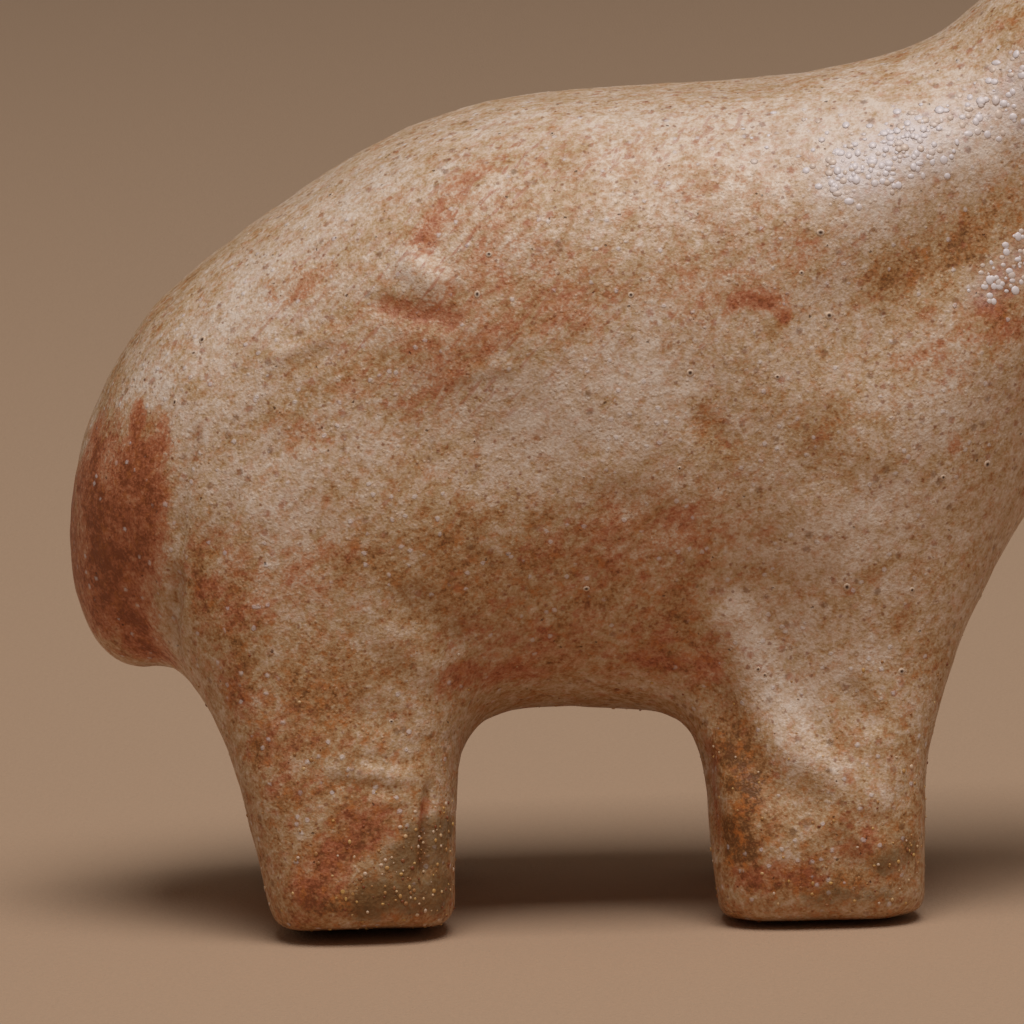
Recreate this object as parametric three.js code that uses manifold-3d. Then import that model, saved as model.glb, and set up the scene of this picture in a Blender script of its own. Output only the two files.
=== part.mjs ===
// A tapir modelled by hand in clay and fired in one piece, standing on four stub legs.
// Millimetres, +Z up. The head looks along +X, and the origin is on the ground under the
// middle of the figure's outline box.
import * as THREE from "three";
import { mergeVertices } from "three/addons/utils/BufferGeometryUtils.js";
import Module from "manifold-3d";

// Driving sizes. The pose, the proportions and the modelling below are shares of these.
const bodyLength = 84; // tail to chest
const backHeight = 69; // ground to the middle of the back
const bellyHeight = 16.9; // ground to belly
const bodyWidth = 43; // across the haunches
const headLength = 40; // nape to the tip of the snout
const headWidth = 25; // across the cheeks
const earHeight = 10.5; // root to tip
const earWidth = 9;
const earThickness = 4.6;
const eyeDiameter = 3.8;
const pupilDiameter = 1.3;
const nostrilDiameter = 1.9;

// Clay fillets, where the maker smoothed one lump into the next.
const legFillet = 6.5;
const tailFillet = 2;
const neckFillet = 7;
const jawFillet = 1.2; // small, so that the crease between them reads as the mouth

// Fineness of the faceted surface: grid cells along the body, and along one ear.
const bodyCells = 31;
const earCells = 7;

const length = (share) => share * bodyLength;
const height = (share) => share * backHeight;
const halfWidth = (share) => (share * bodyWidth) / 2;

// Value at t, from 0 to the last index, on a smooth curve through rows of numbers.
function between(rows, t) {
  const last = rows.length - 1;
  const i = Math.min(Math.floor(t), last - 1);
  const row = (k) => rows[Math.max(0, Math.min(last, k))];
  const [before, from, to, after] = [row(i - 1), row(i), row(i + 1), row(i + 2)];
  const f = t - i;
  return from.map((start, c) => {
    const end = to[c];
    const leave = (end - before[c]) / 2;
    const arrive = (after[c] - start) / 2;
    const bend = f * (leave + f * (3 * (end - start) - 2 * leave - arrive));
    return start + bend + f ** 3 * (leave + arrive - 2 * (end - start));
  });
}

// Clay rolled along a spine in the middle plane. Each station is [x, z, half height, half width],
// and the lump is the envelope of the rounds along the spine. A fullness of 2 gives round sides,
// and more gives flatter ones.
const roundsPerStation = 12;
function roll(stations, fullness = 2) {
  const spans = stations.length - 1;
  const rounds = Array.from({ length: spans * roundsPerStation + 1 }, (_, k) =>
    between(stations, k / roundsPerStation),
  );
  return (x, y, z) => {
    let nearest = Infinity;
    for (const [cx, cz, tall, wide] of rounds) {
      const upright = Math.hypot(x - cx, z - cz);
      const across = (Math.abs(y) * tall) / wide;
      const reach = (upright ** fullness + across ** fullness) ** (1 / fullness);
      nearest = Math.min(nearest, reach - tall);
    }
    return nearest;
  };
}

function smoothUnion(a, b, blend) {
  const overlap = Math.max(blend - Math.abs(a - b), 0) / blend;
  return Math.min(a, b) - (overlap * overlap * blend) / 4;
}
const smoothBoth = (a, b, blend) => -smoothUnion(-a, -b, blend);
const smoothCut = (clay, tool, blend) => smoothBoth(clay, -tool, blend);

// Barrel of the body from the rump to the chest. Each row is [along, belly, back, width] as
// shares of the body length, belly height, back height and half width.
const trunkFullness = 2.4;
const trunk = roll(
  [
    [0.282, 0.96, 0.838, 0.88],
    [0.37, 0.97, 0.907, 0.96],
    [0.48, 1.0, 0.978, 0.98],
    [0.61, 1.0, 0.991, 0.95],
    [0.7, 1.19, 0.995, 0.92],
    [0.765, 1.56, 0.99, 0.88],
    [0.82, 2.3, 0.975, 0.8],
  ].map(([along, belly, back, wide]) => {
    const low = belly * bellyHeight;
    const high = height(back);
    return [length(along), (high + low) / 2, (high - low) / 2, halfWidth(wide)];
  }),
  trunkFullness,
);

// Broad thick tail that hangs against the rump, free at its tip and smoothed in above it:
// [x, z, half thickness, half width].
const tailTipHeight = height(0.3);
const tail = roll([
  [length(0.17), height(0.62), height(0.1), halfWidth(0.5)],
  [length(0.083), height(0.53), height(0.078), halfWidth(0.52)],
  [length(0.067), height(0.43), height(0.073), halfWidth(0.46)],
  [length(0.078), height(0.367), height(0.067), halfWidth(0.38)],
]);

// Neck, skull and drooping snout. Rows are [forward, up, half height, width], shares of the head
// length measured from the base of the neck, and of half the head width.
const neckBase = { x: length(0.86), z: height(0.833) };
const headStation = ([forward, up, tall, wide]) => [
  neckBase.x + forward * headLength,
  neckBase.z + up * headLength,
  tall * headLength,
  (wide * headWidth) / 2,
];
const neckAndSkull = roll(
  [
    [-0.02, -0.04, 0.315, 1.2],
    [0.2, 0.13, 0.285, 1.08],
    [0.41, 0.31, 0.262, 1.0],
    [0.58, 0.34, 0.225, 0.9],
    [0.76, 0.265, 0.17, 0.68],
    [0.91, 0.145, 0.138, 0.53],
    [0.985, 0.01, 0.11, 0.44],
  ].map(headStation),
);
const jaw = roll(
  [
    [0.38, 0.11, 0.225, 0.84],
    [0.58, 0.03, 0.155, 0.68],
    [0.74, -0.035, 0.108, 0.54],
    [0.83, -0.06, 0.085, 0.44],
  ].map(headStation),
);

// Legs as columns with rounded corners. Rows are [up, rear, front, inner, outer]: up runs from 0
// at the ground to 1 at belly height and 2 at the root inside the body, rear and front are
// shares of the body length, and inner and outer are shares of its half width.
const rootHeight = height(0.66);
const hindRows = [
  [-0.2, 0.213, 0.378, 0.34, 0.97],
  [0.15, 0.2, 0.382, 0.3, 1.0],
  [0.5, 0.187, 0.385, 0.27, 0.99],
  [0.8, 0.17, 0.387, 0.23, 0.97],
  [1.1, 0.148, 0.39, 0.16, 0.94],
  [1.4, 0.125, 0.4, 0.06, 0.9],
  [1.75, 0.15, 0.41, 0.0, 0.8],
  [2.0, 0.19, 0.4, 0.0, 0.6],
];
const foreRows = [
  [-0.2, 0.646, 0.838, 0.28, 0.82],
  [0.15, 0.637, 0.843, 0.26, 0.86],
  [0.5, 0.63, 0.846, 0.23, 0.88],
  [0.8, 0.628, 0.85, 0.2, 0.84],
  [1.1, 0.626, 0.872, 0.14, 0.78],
  [1.4, 0.63, 0.898, 0.06, 0.76],
  [1.75, 0.65, 0.89, 0.0, 0.7],
  [2.0, 0.68, 0.86, 0.0, 0.56],
];

// A sole rests on its inner part and slants up from there to its outer rim, which stands off
// the ground by the lift.
const hindRimLift = 1.6;
const foreRimLift = 0.7;
const soleRest = 0.34; // share of the foot's width that rests
const rimRounding = 0.9;
const footSquareness = 3.2; // corners of a leg's section at the ground
const rootSquareness = 2.2; // and where it has grown into the body

function leg(rows, side, rimLift, forward) {
  const rise = (up) => (up < 1 ? up * bellyHeight : bellyHeight + (up - 1) * (rootHeight - bellyHeight));
  const levels = rows.map((row) => rise(row[0]));
  const top = levels[levels.length - 1];
  return (x, y, z) => {
    const level = Math.max(levels[0], Math.min(top, z));
    const above = levels.findIndex((value) => value >= level);
    const k = Math.max(above - 1, 0);
    const t = k + (level - levels[k]) / (levels[k + 1] - levels[k]);
    const [, rear, front, inner, outer] = between(rows, t);
    const halfX = length(front - rear) / 2;
    const halfY = halfWidth(outer - inner) / 2;
    const dx = Math.abs(x - forward - length(front + rear) / 2);
    const outwards = side * y - halfWidth(outer + inner) / 2;
    const dy = Math.abs(outwards);
    const grown = Math.max(0, Math.min(1, level / rootHeight));
    const squareness = footSquareness + (rootSquareness - footSquareness) * grown;
    const ring = ((dx / halfX) ** squareness + (dy / halfY) ** squareness) ** (1 / squareness);
    const column = Math.max(Math.hypot(dx, dy) * (1 - 1 / Math.max(ring, 0.01)), z - top);
    const slant = ((outwards + halfY) / (2 * halfY) - soleRest) / (1 - soleRest);
    const lift = rimLift * Math.max(slant, -soleRest);
    return smoothBoth(column, lift - z, rimRounding);
  };
}

// The far feet stand a little inside the near ones, as the side view shows no more of them.
const farForeAhead = 0.7;
const farHindBehind = 0.4;
const legs = [
  leg(hindRows, -1, hindRimLift, 0),
  leg(hindRows, 1, foreRimLift, -farHindBehind),
  leg(foreRows, -1, foreRimLift, 0),
  leg(foreRows, 1, foreRimLift, farForeAhead),
];

// Presses of a thumb in the clay, alike on both sides. Each runs between two points, given as
// shares of the body length, back height and half width. The thumb's radius and the blend at
// the rim are shares of the body length.
const press = (from, to, radius, blend) => ({
  from,
  to,
  radius: length(radius),
  blend: length(blend),
});
const presses = [
  press([0.8, 0.74, 1.1], [1.0, 0.9, 0.88], 0.057, 0.083), // between neck and shoulder
  press([0.5, 0.4, 1.44], [0.66, 0.33, 1.3], 0.101, 0.107), // flank behind the elbow
  press([0.36, 0.62, 1.36], [0.44, 0.6, 1.36], 0.089, 0.06), // hollow under the hip
];

const placed = ([along, up, wide]) => [length(along), height(up), halfWidth(wide)];
function tool({ from, to, radius }) {
  const start = placed(from);
  const run = placed(to).map((value, i) => value - start[i]);
  const runSquared = run[0] ** 2 + run[1] ** 2 + run[2] ** 2;
  return (x, y, z) => {
    const [dx, dz, dy] = [x - start[0], z - start[1], Math.abs(y) - start[2]];
    const t = Math.max(0, Math.min(1, (dx * run[0] + dz * run[1] + dy * run[2]) / runSquared));
    return Math.hypot(dx - t * run[0], dz - t * run[1], dy - t * run[2]) - radius;
  };
}
const pressTools = presses.map((entry) => ({ reach: tool(entry), blend: entry.blend }));

// The whole figure as a field that is negative inside the clay.
function figure(x, y, z) {
  let clay = smoothUnion(trunk(x, y, z), neckAndSkull(x, y, z), neckFillet);
  clay = smoothUnion(clay, jaw(x, y, z), jawFillet);
  for (const column of legs) clay = smoothUnion(clay, column(x, y, z), legFillet);
  const tailBlend = tailFillet * Math.max(1, Math.min(3, z / tailTipHeight - 0.2));
  clay = smoothUnion(clay, tail(x, y, z), tailBlend);
  for (const { reach, blend } of pressTools) clay = smoothCut(clay, reach(x, y, z), blend);
  return clay;
}

function slope(field, { x, y, z }) {
  const e = 0.05;
  return new THREE.Vector3(
    field(x + e, y, z) - field(x - e, y, z),
    field(x, y + e, z) - field(x, y - e, z),
    field(x, y, z + e) - field(x, y, z - e),
  ).divideScalar(2 * e);
}

// Moves a point onto the surface of a field along its slope.
function settle(field, p, rounds) {
  for (let k = 0; k < rounds; k++) {
    const g = slope(field, p);
    p.addScaledVector(g, -field(p.x, p.y, p.z) / Math.max(g.lengthSq(), 1e-3));
  }
  return p;
}

// Grid stops from low to high, with a fine step over the first band.
function stops(low, high, step, fineStep = step, band = 0) {
  const list = [low];
  while (list[list.length - 1] < high) {
    const at = list[list.length - 1];
    list.push(at + (at < low + band ? fineStep : step));
  }
  return list;
}

// Surface net of a field on a grid: a point in each cell that the surface crosses, and a quad
// across each grid edge whose ends are on opposite sides of it.
function surfaceNet(field, [xs, ys, zs]) {
  const [nx, ny, nz] = [xs.length, ys.length, zs.length];
  const at = (i, j, k) => (k * ny + j) * nx + i;
  const value = new Float64Array(nx * ny * nz);
  const pointOf = new Int32Array(nx * ny * nz);
  const everyStop = (first, spare, visit) => {
    for (let k = first; k < nz - spare; k++)
      for (let j = first; j < ny - spare; j++)
        for (let i = first; i < nx - spare; i++) visit(i, j, k);
  };
  everyStop(0, 0, (i, j, k) => {
    value[at(i, j, k)] = field(xs[i], ys[j], zs[k]);
  });

  const points = [];
  const corner = (i, j, k, c) => [i + (c & 1), j + ((c >> 1) & 1), k + ((c >> 2) & 1)];
  const cellEdges = [0, 1, 2, 3, 4, 5, 6, 7].flatMap((c) =>
    [1, 2, 4].filter((bit) => !(c & bit)).map((bit) => [c, c | bit]),
  );
  everyStop(0, 1, (i, j, k) => {
    const middle = new THREE.Vector3();
    let crossings = 0;
    for (const ends of cellEdges) {
      const [a, b] = ends.map((c) => corner(i, j, k, c));
      const [va, vb] = [value[at(...a)], value[at(...b)]];
      if (va < 0 === vb < 0) continue;
      const from = new THREE.Vector3(xs[a[0]], ys[a[1]], zs[a[2]]);
      const to = new THREE.Vector3(xs[b[0]], ys[b[1]], zs[b[2]]);
      middle.add(from.lerp(to, va / (va - vb)));
      crossings++;
    }
    if (!crossings) return;
    pointOf[at(i, j, k)] = points.length;
    points.push(middle.divideScalar(crossings));
  });

  const quads = [];
  const axes = [[1, 0, 0], [0, 1, 0], [0, 0, 1]];
  everyStop(1, 1, (i, j, k) => {
    const inside = value[at(i, j, k)] < 0;
    axes.forEach((step, axis) => {
      if (inside === value[at(i + step[0], j + step[1], k + step[2])] < 0) return;
      const [u, v] = [axes[(axis + 1) % 3], axes[(axis + 2) % 3]];
      const back = (from, n, a, b) => from - a * u[n] - b * v[n];
      const cell = (a, b) => pointOf[at(back(i, 0, a, b), back(j, 1, a, b), back(k, 2, a, b))];
      const quad = [cell(0, 0), cell(1, 0), cell(1, 1), cell(0, 1)];
      quads.push(inside ? quad : quad.reverse());
    });
  });
  return { points, quads };
}

// Evens out a net: each point moves towards the middle of its neighbours and back to the surface.
function relax(field, { points, quads }) {
  const rounds = 6;
  const pull = 0.6;
  const neighbours = points.map(() => new Set());
  for (const quad of quads)
    quad.forEach((a, n) => {
      const b = quad[(n + 1) % 4];
      neighbours[a].add(b);
      neighbours[b].add(a);
    });
  for (let round = 0; round < rounds; round++) {
    const moved = points.map((p, n) => {
      const middle = new THREE.Vector3();
      for (const m of neighbours[n]) middle.add(points[m]);
      return p.clone().lerp(middle.divideScalar(neighbours[n].size), pull);
    });
    moved.forEach((p, n) => points[n].copy(settle(field, p, 1)));
  }
  for (const p of points) settle(field, p, 3);
}

const wasm = await Module();
wasm.setup();

function solidFrom(vertProperties, triVerts) {
  return new wasm.Manifold(new wasm.Mesh({ numProp: 3, vertProperties, triVerts }));
}

function solidOf(geometry) {
  const bare = geometry.clone();
  bare.deleteAttribute("normal");
  bare.deleteAttribute("uv");
  const merged = mergeVertices(bare);
  return solidFrom(merged.attributes.position.array, new Uint32Array(merged.index.array));
}

// Solid of a field. Each quad of its net is split along its shorter diagonal.
function modelled(field, grid, finish = (p) => p) {
  const net = surfaceNet(field, grid);
  relax(field, net);
  const points = net.points.map(finish);
  const faces = net.quads.flatMap(([a, b, c, d]) =>
    points[a].distanceTo(points[c]) < points[b].distanceTo(points[d])
      ? [a, b, c, a, c, d]
      : [a, b, d, b, c, d],
  );
  return solidFrom(new Float32Array(points.flatMap((p) => p.toArray())), new Uint32Array(faces));
}

// Body, head and legs in one, with the soles flattened where they rest.
function bodyAndHead() {
  const step = bodyLength / bodyCells;
  const margin = 2 * step;
  const sideCells = Math.ceil((halfWidth(1.1) + margin) / step);
  const highest = neckBase.z + 0.7 * headLength + margin;
  const grid = [
    stops(-margin, neckBase.x + 1.15 * headLength + margin, step),
    stops(-sideCells * step, sideCells * step, step),
    stops(-margin, highest, step, step / 2.4, margin + bellyHeight / 4),
  ];
  return modelled(figure, grid, (p) => p.setZ(Math.max(p.z, 0)));
}

function headPoint(forward, up, side) {
  const x = neckBase.x + forward * headLength;
  const z = neckBase.z + up * headLength;
  return new THREE.Vector3(x, (side * headWidth) / 2, z);
}

// A rounded ear tab, cupped in front, set on the crown and turned outwards.
function ear(side) {
  const cup = 0.8; // radius of the pressed hollow, as a share of the ear width
  const tab = (x, y, z) => {
    const up = (z - earHeight * 0.3) / (earHeight * 1.4);
    const oval = Math.hypot(x / earThickness, y / earWidth, up) - 0.5;
    const hollow = Math.hypot(x - earWidth * (cup + 0.04), y, z - earHeight * 0.52) - earWidth * cup;
    return smoothCut(oval * earThickness, hollow, earThickness / 4);
  };
  const step = earWidth / earCells;
  const reach = earHeight + 2 * step;
  const grid = [
    stops(-reach / 2, reach / 2, step),
    stops(-reach, reach, step),
    stops(-reach, reach * 1.2, step),
  ];
  const root = headPoint(0.37, 0.5, side * 0.62);
  const turn = new THREE.Euler(side * -0.3, 0.05, side * 0.5, "ZYX");
  const place = new THREE.Matrix4().makeRotationFromEuler(turn).setPosition(root);
  return modelled(tab, grid, (p) => p.applyMatrix4(place));
}

// Where a line through a point of the head first meets the clay, coming from outside.
function meet(through, outwards) {
  const p = through.clone().addScaledVector(outwards, headLength);
  for (let k = 0; k < 60; k++) p.addScaledVector(outwards, -0.7 * Math.max(figure(p.x, p.y, p.z), 0));
  return p;
}

// A round of clay, or of air, lying on the skin of the head.
function round(through, outwards, across, thick) {
  const seat = meet(through, outwards);
  const normal = slope(figure, seat).normalize();
  const shape = new THREE.SphereGeometry(0.5, 16, 10).scale(across, thick, across);
  shape.applyQuaternion(new THREE.Quaternion().setFromUnitVectors(new THREE.Vector3(0, 1, 0), normal));
  shape.translate(seat.x, seat.y, seat.z);
  return solidOf(shape);
}

function clayTapir() {
  let clay = bodyAndHead();
  for (const side of [-1, 1]) {
    const sideways = new THREE.Vector3(0, side, 0);
    const ahead = new THREE.Vector3(0.9, side * 0.42, 0.1).normalize();
    const eye = headPoint(0.63, 0.4, 0);
    const eyeDepth = eyeDiameter * 0.55;
    clay = clay.add(ear(side)).add(round(eye, sideways, eyeDiameter, eyeDepth));
    const pupil = eye.clone().addScaledVector(sideways, eyeDepth / 2);
    clay = clay.subtract(round(pupil, sideways, pupilDiameter, eyeDiameter));
    const nostril = headPoint(0.98, 0.02, side * 0.24);
    clay = clay.subtract(round(nostril, ahead, nostrilDiameter, nostrilDiameter));
  }
  return clay.getMesh();
}

const slip = new THREE.Color(0.62, 0.5, 0.38);

function tapir() {
  const { vertProperties, triVerts } = clayTapir();
  const geometry = new THREE.BufferGeometry();
  geometry.setAttribute("position", new THREE.BufferAttribute(vertProperties, 3));
  geometry.setIndex(new THREE.BufferAttribute(triVerts, 1));
  geometry.computeVertexNormals();
  geometry.computeBoundingBox();
  const finish = new THREE.MeshStandardMaterial({ color: slip, roughness: 0.5, metalness: 0 });
  const mesh = new THREE.Mesh(geometry, finish);
  mesh.name = "tapir";
  const { min, max } = geometry.boundingBox;
  mesh.position.set(-(min.x + max.x) / 2, -(min.y + max.y) / 2, -min.z);
  return mesh;
}

const figurine = new THREE.Group();
figurine.add(tapir());

export default figurine;
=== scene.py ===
"""Tapir figurine: the finish of the fired clay, its studio and its camera."""
import math

import bpy
import numpy as np
from mathutils import Matrix, Vector


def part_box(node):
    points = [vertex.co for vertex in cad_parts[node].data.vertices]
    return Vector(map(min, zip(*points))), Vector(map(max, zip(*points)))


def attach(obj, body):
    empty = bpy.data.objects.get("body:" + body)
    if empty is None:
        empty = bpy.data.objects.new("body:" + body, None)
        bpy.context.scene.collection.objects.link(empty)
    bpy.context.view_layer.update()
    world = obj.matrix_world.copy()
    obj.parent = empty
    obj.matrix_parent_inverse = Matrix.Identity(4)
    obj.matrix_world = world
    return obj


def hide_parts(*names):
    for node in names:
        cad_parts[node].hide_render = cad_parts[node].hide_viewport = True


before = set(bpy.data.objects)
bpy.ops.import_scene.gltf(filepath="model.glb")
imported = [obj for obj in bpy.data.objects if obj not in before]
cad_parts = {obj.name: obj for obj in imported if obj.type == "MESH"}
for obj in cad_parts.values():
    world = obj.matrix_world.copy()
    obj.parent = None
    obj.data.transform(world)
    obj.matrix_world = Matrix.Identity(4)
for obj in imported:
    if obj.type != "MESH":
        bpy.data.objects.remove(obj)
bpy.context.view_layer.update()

# The tapir is one piece of clay, rolled, pressed and smoothed by hand, coated with a cream slip,
# rubbed while leather-hard and fired. Its skin is a fine mesh laid over the solid, with the
# presses, lumps, tool lines, cracks and worn edges of the real surface raised on it.
MM = 0.001
skin_cell = 0.52 * MM
smoothing_rounds = 7
smoothing_share = 0.5
lowest, highest = (np.array(corner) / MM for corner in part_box("tapir"))


def clay_copy(name):
    """The node's mesh as a new object of its own, in metres in the frame."""
    source = bpy.data.objects[name]
    piece = bpy.data.objects.new("tapir_clay", source.data.copy())
    piece.data.transform(source.matrix_world)
    bpy.context.collection.objects.link(piece)
    return piece


def apply_modifiers(piece):
    """Replaces the mesh by what its modifiers make of it."""
    evaluated = piece.evaluated_get(bpy.context.evaluated_depsgraph_get())
    made = bpy.data.meshes.new_from_object(evaluated)
    piece.modifiers.clear()
    piece.data = made


clay = clay_copy("tapir")
weld = clay.modifiers.new("join the facets", "WELD")
weld.merge_threshold = 0.001 * MM
rounding = clay.modifiers.new("round off the facets", "SUBSURF")
rounding.levels = 1
rounding.render_levels = 1
skinning = clay.modifiers.new("fine skin", "REMESH")
skinning.mode = "VOXEL"
skinning.voxel_size = skin_cell
thumbing = clay.modifiers.new("smooth the skin", "SMOOTH")
thumbing.factor = smoothing_share
thumbing.iterations = smoothing_rounds
apply_modifiers(clay)


def vectors_of(collection, field):
    """One vector of each element of a mesh, as an array of rows."""
    flat = np.empty(len(collection) * 3, dtype=np.float32)
    collection.foreach_get(field, flat)
    return flat.reshape(-1, 3).astype(np.float64)


skin_points = vectors_of(clay.data.vertices, "co") / MM
skin_normals = vectors_of(clay.data.vertex_normals, "vector")


def chance(cells, seed):
    """A fixed value from 0 to 1 for each whole-number cell: its three coordinates and the seed
    are multiplied by odd numbers and mixed by shifts."""
    whole = cells.astype(np.int64).astype(np.uint64)
    mixed = whole[..., 0] * np.uint64(0x9E3779B97F4A7C15)
    mixed ^= whole[..., 1] * np.uint64(0xC2B2AE3D27D4EB4F)
    mixed ^= whole[..., 2] * np.uint64(0x165667B19E3779F9)
    mixed ^= np.full_like(mixed, seed * 7919 + 17) * np.uint64(0xD6E8FEB86659FD93)
    mixed ^= mixed >> np.uint64(32)
    mixed *= np.uint64(0xD6E8FEB86659FD93)
    mixed ^= mixed >> np.uint64(32)
    return (mixed >> np.uint64(40)).astype(np.float64) / float(1 << 24)


def soft_noise(points, size, seed):
    """Smooth noise from -1 to 1: chance values on a grid of the given size in millimetres,
    blended across each cell by three t squared less two t cubed."""
    scaled = points / size
    base = np.floor(scaled)
    t = scaled - base
    t = t * t * (3 - 2 * t)
    total = np.zeros(len(points))
    for corner in range(8):
        step = np.array([corner & 1, corner >> 1 & 1, corner >> 2 & 1])
        weight = np.prod(np.where(step, t, 1 - t), axis=1)
        total += weight * chance(base + step, seed)
    return total * 2 - 1


def rough_noise(points, size, seed, octaves=3):
    """A sum of soft noises, each of half the size and half the height of the one before."""
    total = np.zeros(len(points))
    for octave in range(octaves):
        total += soft_noise(points, size / 2**octave, seed + 31 * octave) / 2**octave
    return total


def on_side(x, z, side=-1):
    """The place of the skin at x and z in the side view, on the near side (-1) or the far one."""
    faces_side = (skin_normals[:, 1] * side > 0.1) & (skin_points[:, 1] * side > 0)
    gap = np.hypot(skin_points[:, 0] - x, skin_points[:, 2] - z) + np.where(faces_side, 0, 1000)
    return skin_points[np.argmin(gap)]


def reach(places, side=-1):
    """Distance in millimetres of every skin point from a line over the skin, given by x and z of
    its bends in the side view. It is the least distance from any of its straight spans."""
    line = np.array([on_side(x, z, side) for x, z in places])
    if len(line) == 1:
        return np.linalg.norm(skin_points - line[0], axis=1)
    nearest = np.full(len(skin_points), np.inf)
    for start, end in zip(line[:-1], line[1:]):
        run = end - start
        t = np.clip((skin_points - start) @ run / max(run @ run, 1e-9), 0, 1)
        nearest = np.minimum(nearest, np.linalg.norm(skin_points - start - t[:, None] * run, axis=1))
    return nearest


def dome(distance, radius):
    """One at the middle and nothing past the radius: one less the square of the share, squared."""
    return np.clip(1 - (distance / radius) ** 2, 0, None) ** 2


# The relief is in millimetres, out of the clay. The hand's own unevenness comes first.
# Each of its waves has a height, a width and a seed.
relief = np.zeros(len(skin_points))
for height, width, seed in ((0.16, 10.0, 1), (0.085, 4.6, 2), (0.05, 2.3, 3), (0.042, 1.15, 4)):
    relief += height * soft_noise(skin_points, width, seed)

# Lumps and dents of the near side: x and z of their places, radius and height.
hand_marks = [
    ([(-28.6, 55.6), (-26.9, 54.4)], 2.0, 0.6),  # lump on the hip
    ([(-31.1, 52.6), (-28.2, 51.9), (-25.4, 51.4)], 1.5, -0.42),  # dent under it
    ([(-25.0, 53.2)], 1.5, -0.2),
    ([(-25.2, 46.6), (-23.2, 47.2), (-20.6, 47.4)], 0.7, 0.17),  # scraped-up streaks
    ([(-24.0, 46.0), (-21.6, 46.4)], 0.8, -0.08),
    ([(-40.0, 48.2), (-37.7, 49.2), (-34.6, 50.4)], 0.9, 0.22),
    ([(-39.4, 47.0), (-35.6, 48.4)], 1.1, -0.12),
    ([(-30.8, 25.2), (-27.7, 22.8)], 2.0, 0.3),  # folds at the groin
    ([(-28.6, 28.4), (-25.4, 25.2)], 2.4, -0.36),
    ([(-33.5, 19.6), (-30.2, 18.2)], 1.8, -0.16),
    ([(-3.0, 25.4), (-1.5, 21.6), (0.0, 18.0), (1.2, 15.6)], 3.2, 0.65),  # ridge of the fore leg
    ([(3.6, 13.8), (8.4, 11.0)], 2.4, 0.3),
    ([(-3.8, 18.6), (-2.2, 15.0), (0.2, 12.4), (3.6, 10.6)], 2.8, -0.5),  # pressed in below it
    ([(-5.0, 13.0), (-4.6, 8.0)], 3.6, -0.5),
    ([(6.6, 19.6), (8.0, 17.4)], 1.9, -0.35),  # thumb dent beside it
    ([(9.8, 15.4), (10.2, 12.4)], 1.6, 0.2),
    ([(5.3, 7.8), (6.4, 5.6)], 1.7, -0.34),  # dent above the fore foot
    ([(8.6, 7.2), (9.8, 4.8)], 1.6, 0.2),
    ([(-5.6, 42.4), (-3.2, 40.8)], 1.7, -0.2),
    ([(-12.0, 36.0), (-7.0, 34.6)], 3.0, -0.2),
    ([(5.0, 38.0), (9.0, 36.0)], 3.4, -0.22),
    ([(-20.0, 58.0), (-14.0, 60.0)], 3.6, 0.15),
    ([(-41.0, 36.0), (-37.0, 40.0)], 3.0, 0.18),
    ([(-45.6, 33.0), (-43.6, 37.6)], 1.8, -0.2),
]
for places, radius, height in hand_marks:
    relief += height * dome(reach(places), radius)

# Creases where the clay dragged: fine ones across the hind leg with crumbs pushed up between
# them, a crack up its front, and the furrow beside the tail.
creases = [
    ([(-31.0, 16.4), (-28.4, 16.7), (-26.0, 16.2)], 0.7, -0.16),
    ([(-33.6, 15.5), (-31.0, 15.3), (-28.4, 15.6)], 0.8, -0.2),
    ([(-36.2, 14.8), (-34.9, 14.9)], 0.8, 0.2),  # the first of the crumbs
    ([(-33.4, 14.3), (-32.4, 14.5)], 0.9, 0.26),
    ([(-31.0, 14.0), (-29.8, 13.6)], 0.8, 0.24),
    ([(-35.8, 13.6), (-34.0, 13.4)], 0.8, -0.2),
    ([(-32.6, 13.4), (-30.8, 12.7)], 0.9, -0.28),
    ([(-31.6, 12.0), (-30.6, 12.1)], 0.8, 0.24),
    ([(-34.4, 11.8), (-33.8, 11.0)], 0.7, 0.22),
    ([(-28.1, 12.6), (-28.6, 9.6), (-28.5, 5.8)], 0.8, -0.5),
    ([(-34.6, 12.4), (-33.6, 9.8), (-33.9, 7.4)], 0.7, -0.14),
    ([(-46.6, 41.6), (-47.4, 38.0), (-48.0, 33.0), (-48.8, 28.0)], 1.4, -0.22),  # beside the tail
    ([(-48.6, 30.0), (-49.0, 27.0), (-48.8, 24.6)], 1.7, -0.5),
]
for places, radius, height in creases:
    relief += height * dome(reach(places), radius)

# The far side has marks of the same hand in other places.
far_marks = [
    ([(-36.0, 50.0), (-31.0, 53.0)], 2.6, 0.3),
    ([(-24.0, 44.0), (-18.0, 42.0)], 3.0, -0.3),
    ([(-40.0, 30.0), (-36.0, 27.0)], 2.2, -0.28),
    ([(-6.0, 52.0), (0.0, 54.0)], 2.8, -0.24),
    ([(-12.0, 30.0), (-6.0, 31.0)], 2.6, 0.22),
    ([(4.0, 22.0), (8.0, 17.0)], 2.6, -0.4),
    ([(-34.0, 15.0), (-30.0, 12.0)], 1.8, -0.24),
    ([(10.0, 40.0), (15.0, 44.0)], 3.0, 0.2),
    ([(-47.4, 38.0), (-48.0, 33.0), (-48.8, 28.0)], 1.4, -0.22),
    ([(-48.6, 30.0), (-49.0, 27.0), (-48.8, 24.6)], 1.7, -0.5),
]
for places, radius, height in far_marks:
    relief += height * dome(reach(places, side=1), radius)

# The mouth is one pressed line, on both cheeks.
mouth = [(52.0, 57.4), (47.0, 57.8), (41.5, 59.4)]
mouth_depth = 0.5
mouth_reach = 0.9
for side in (-1, 1):
    relief -= mouth_depth * dome(reach(mouth, side), mouth_reach)

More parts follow.
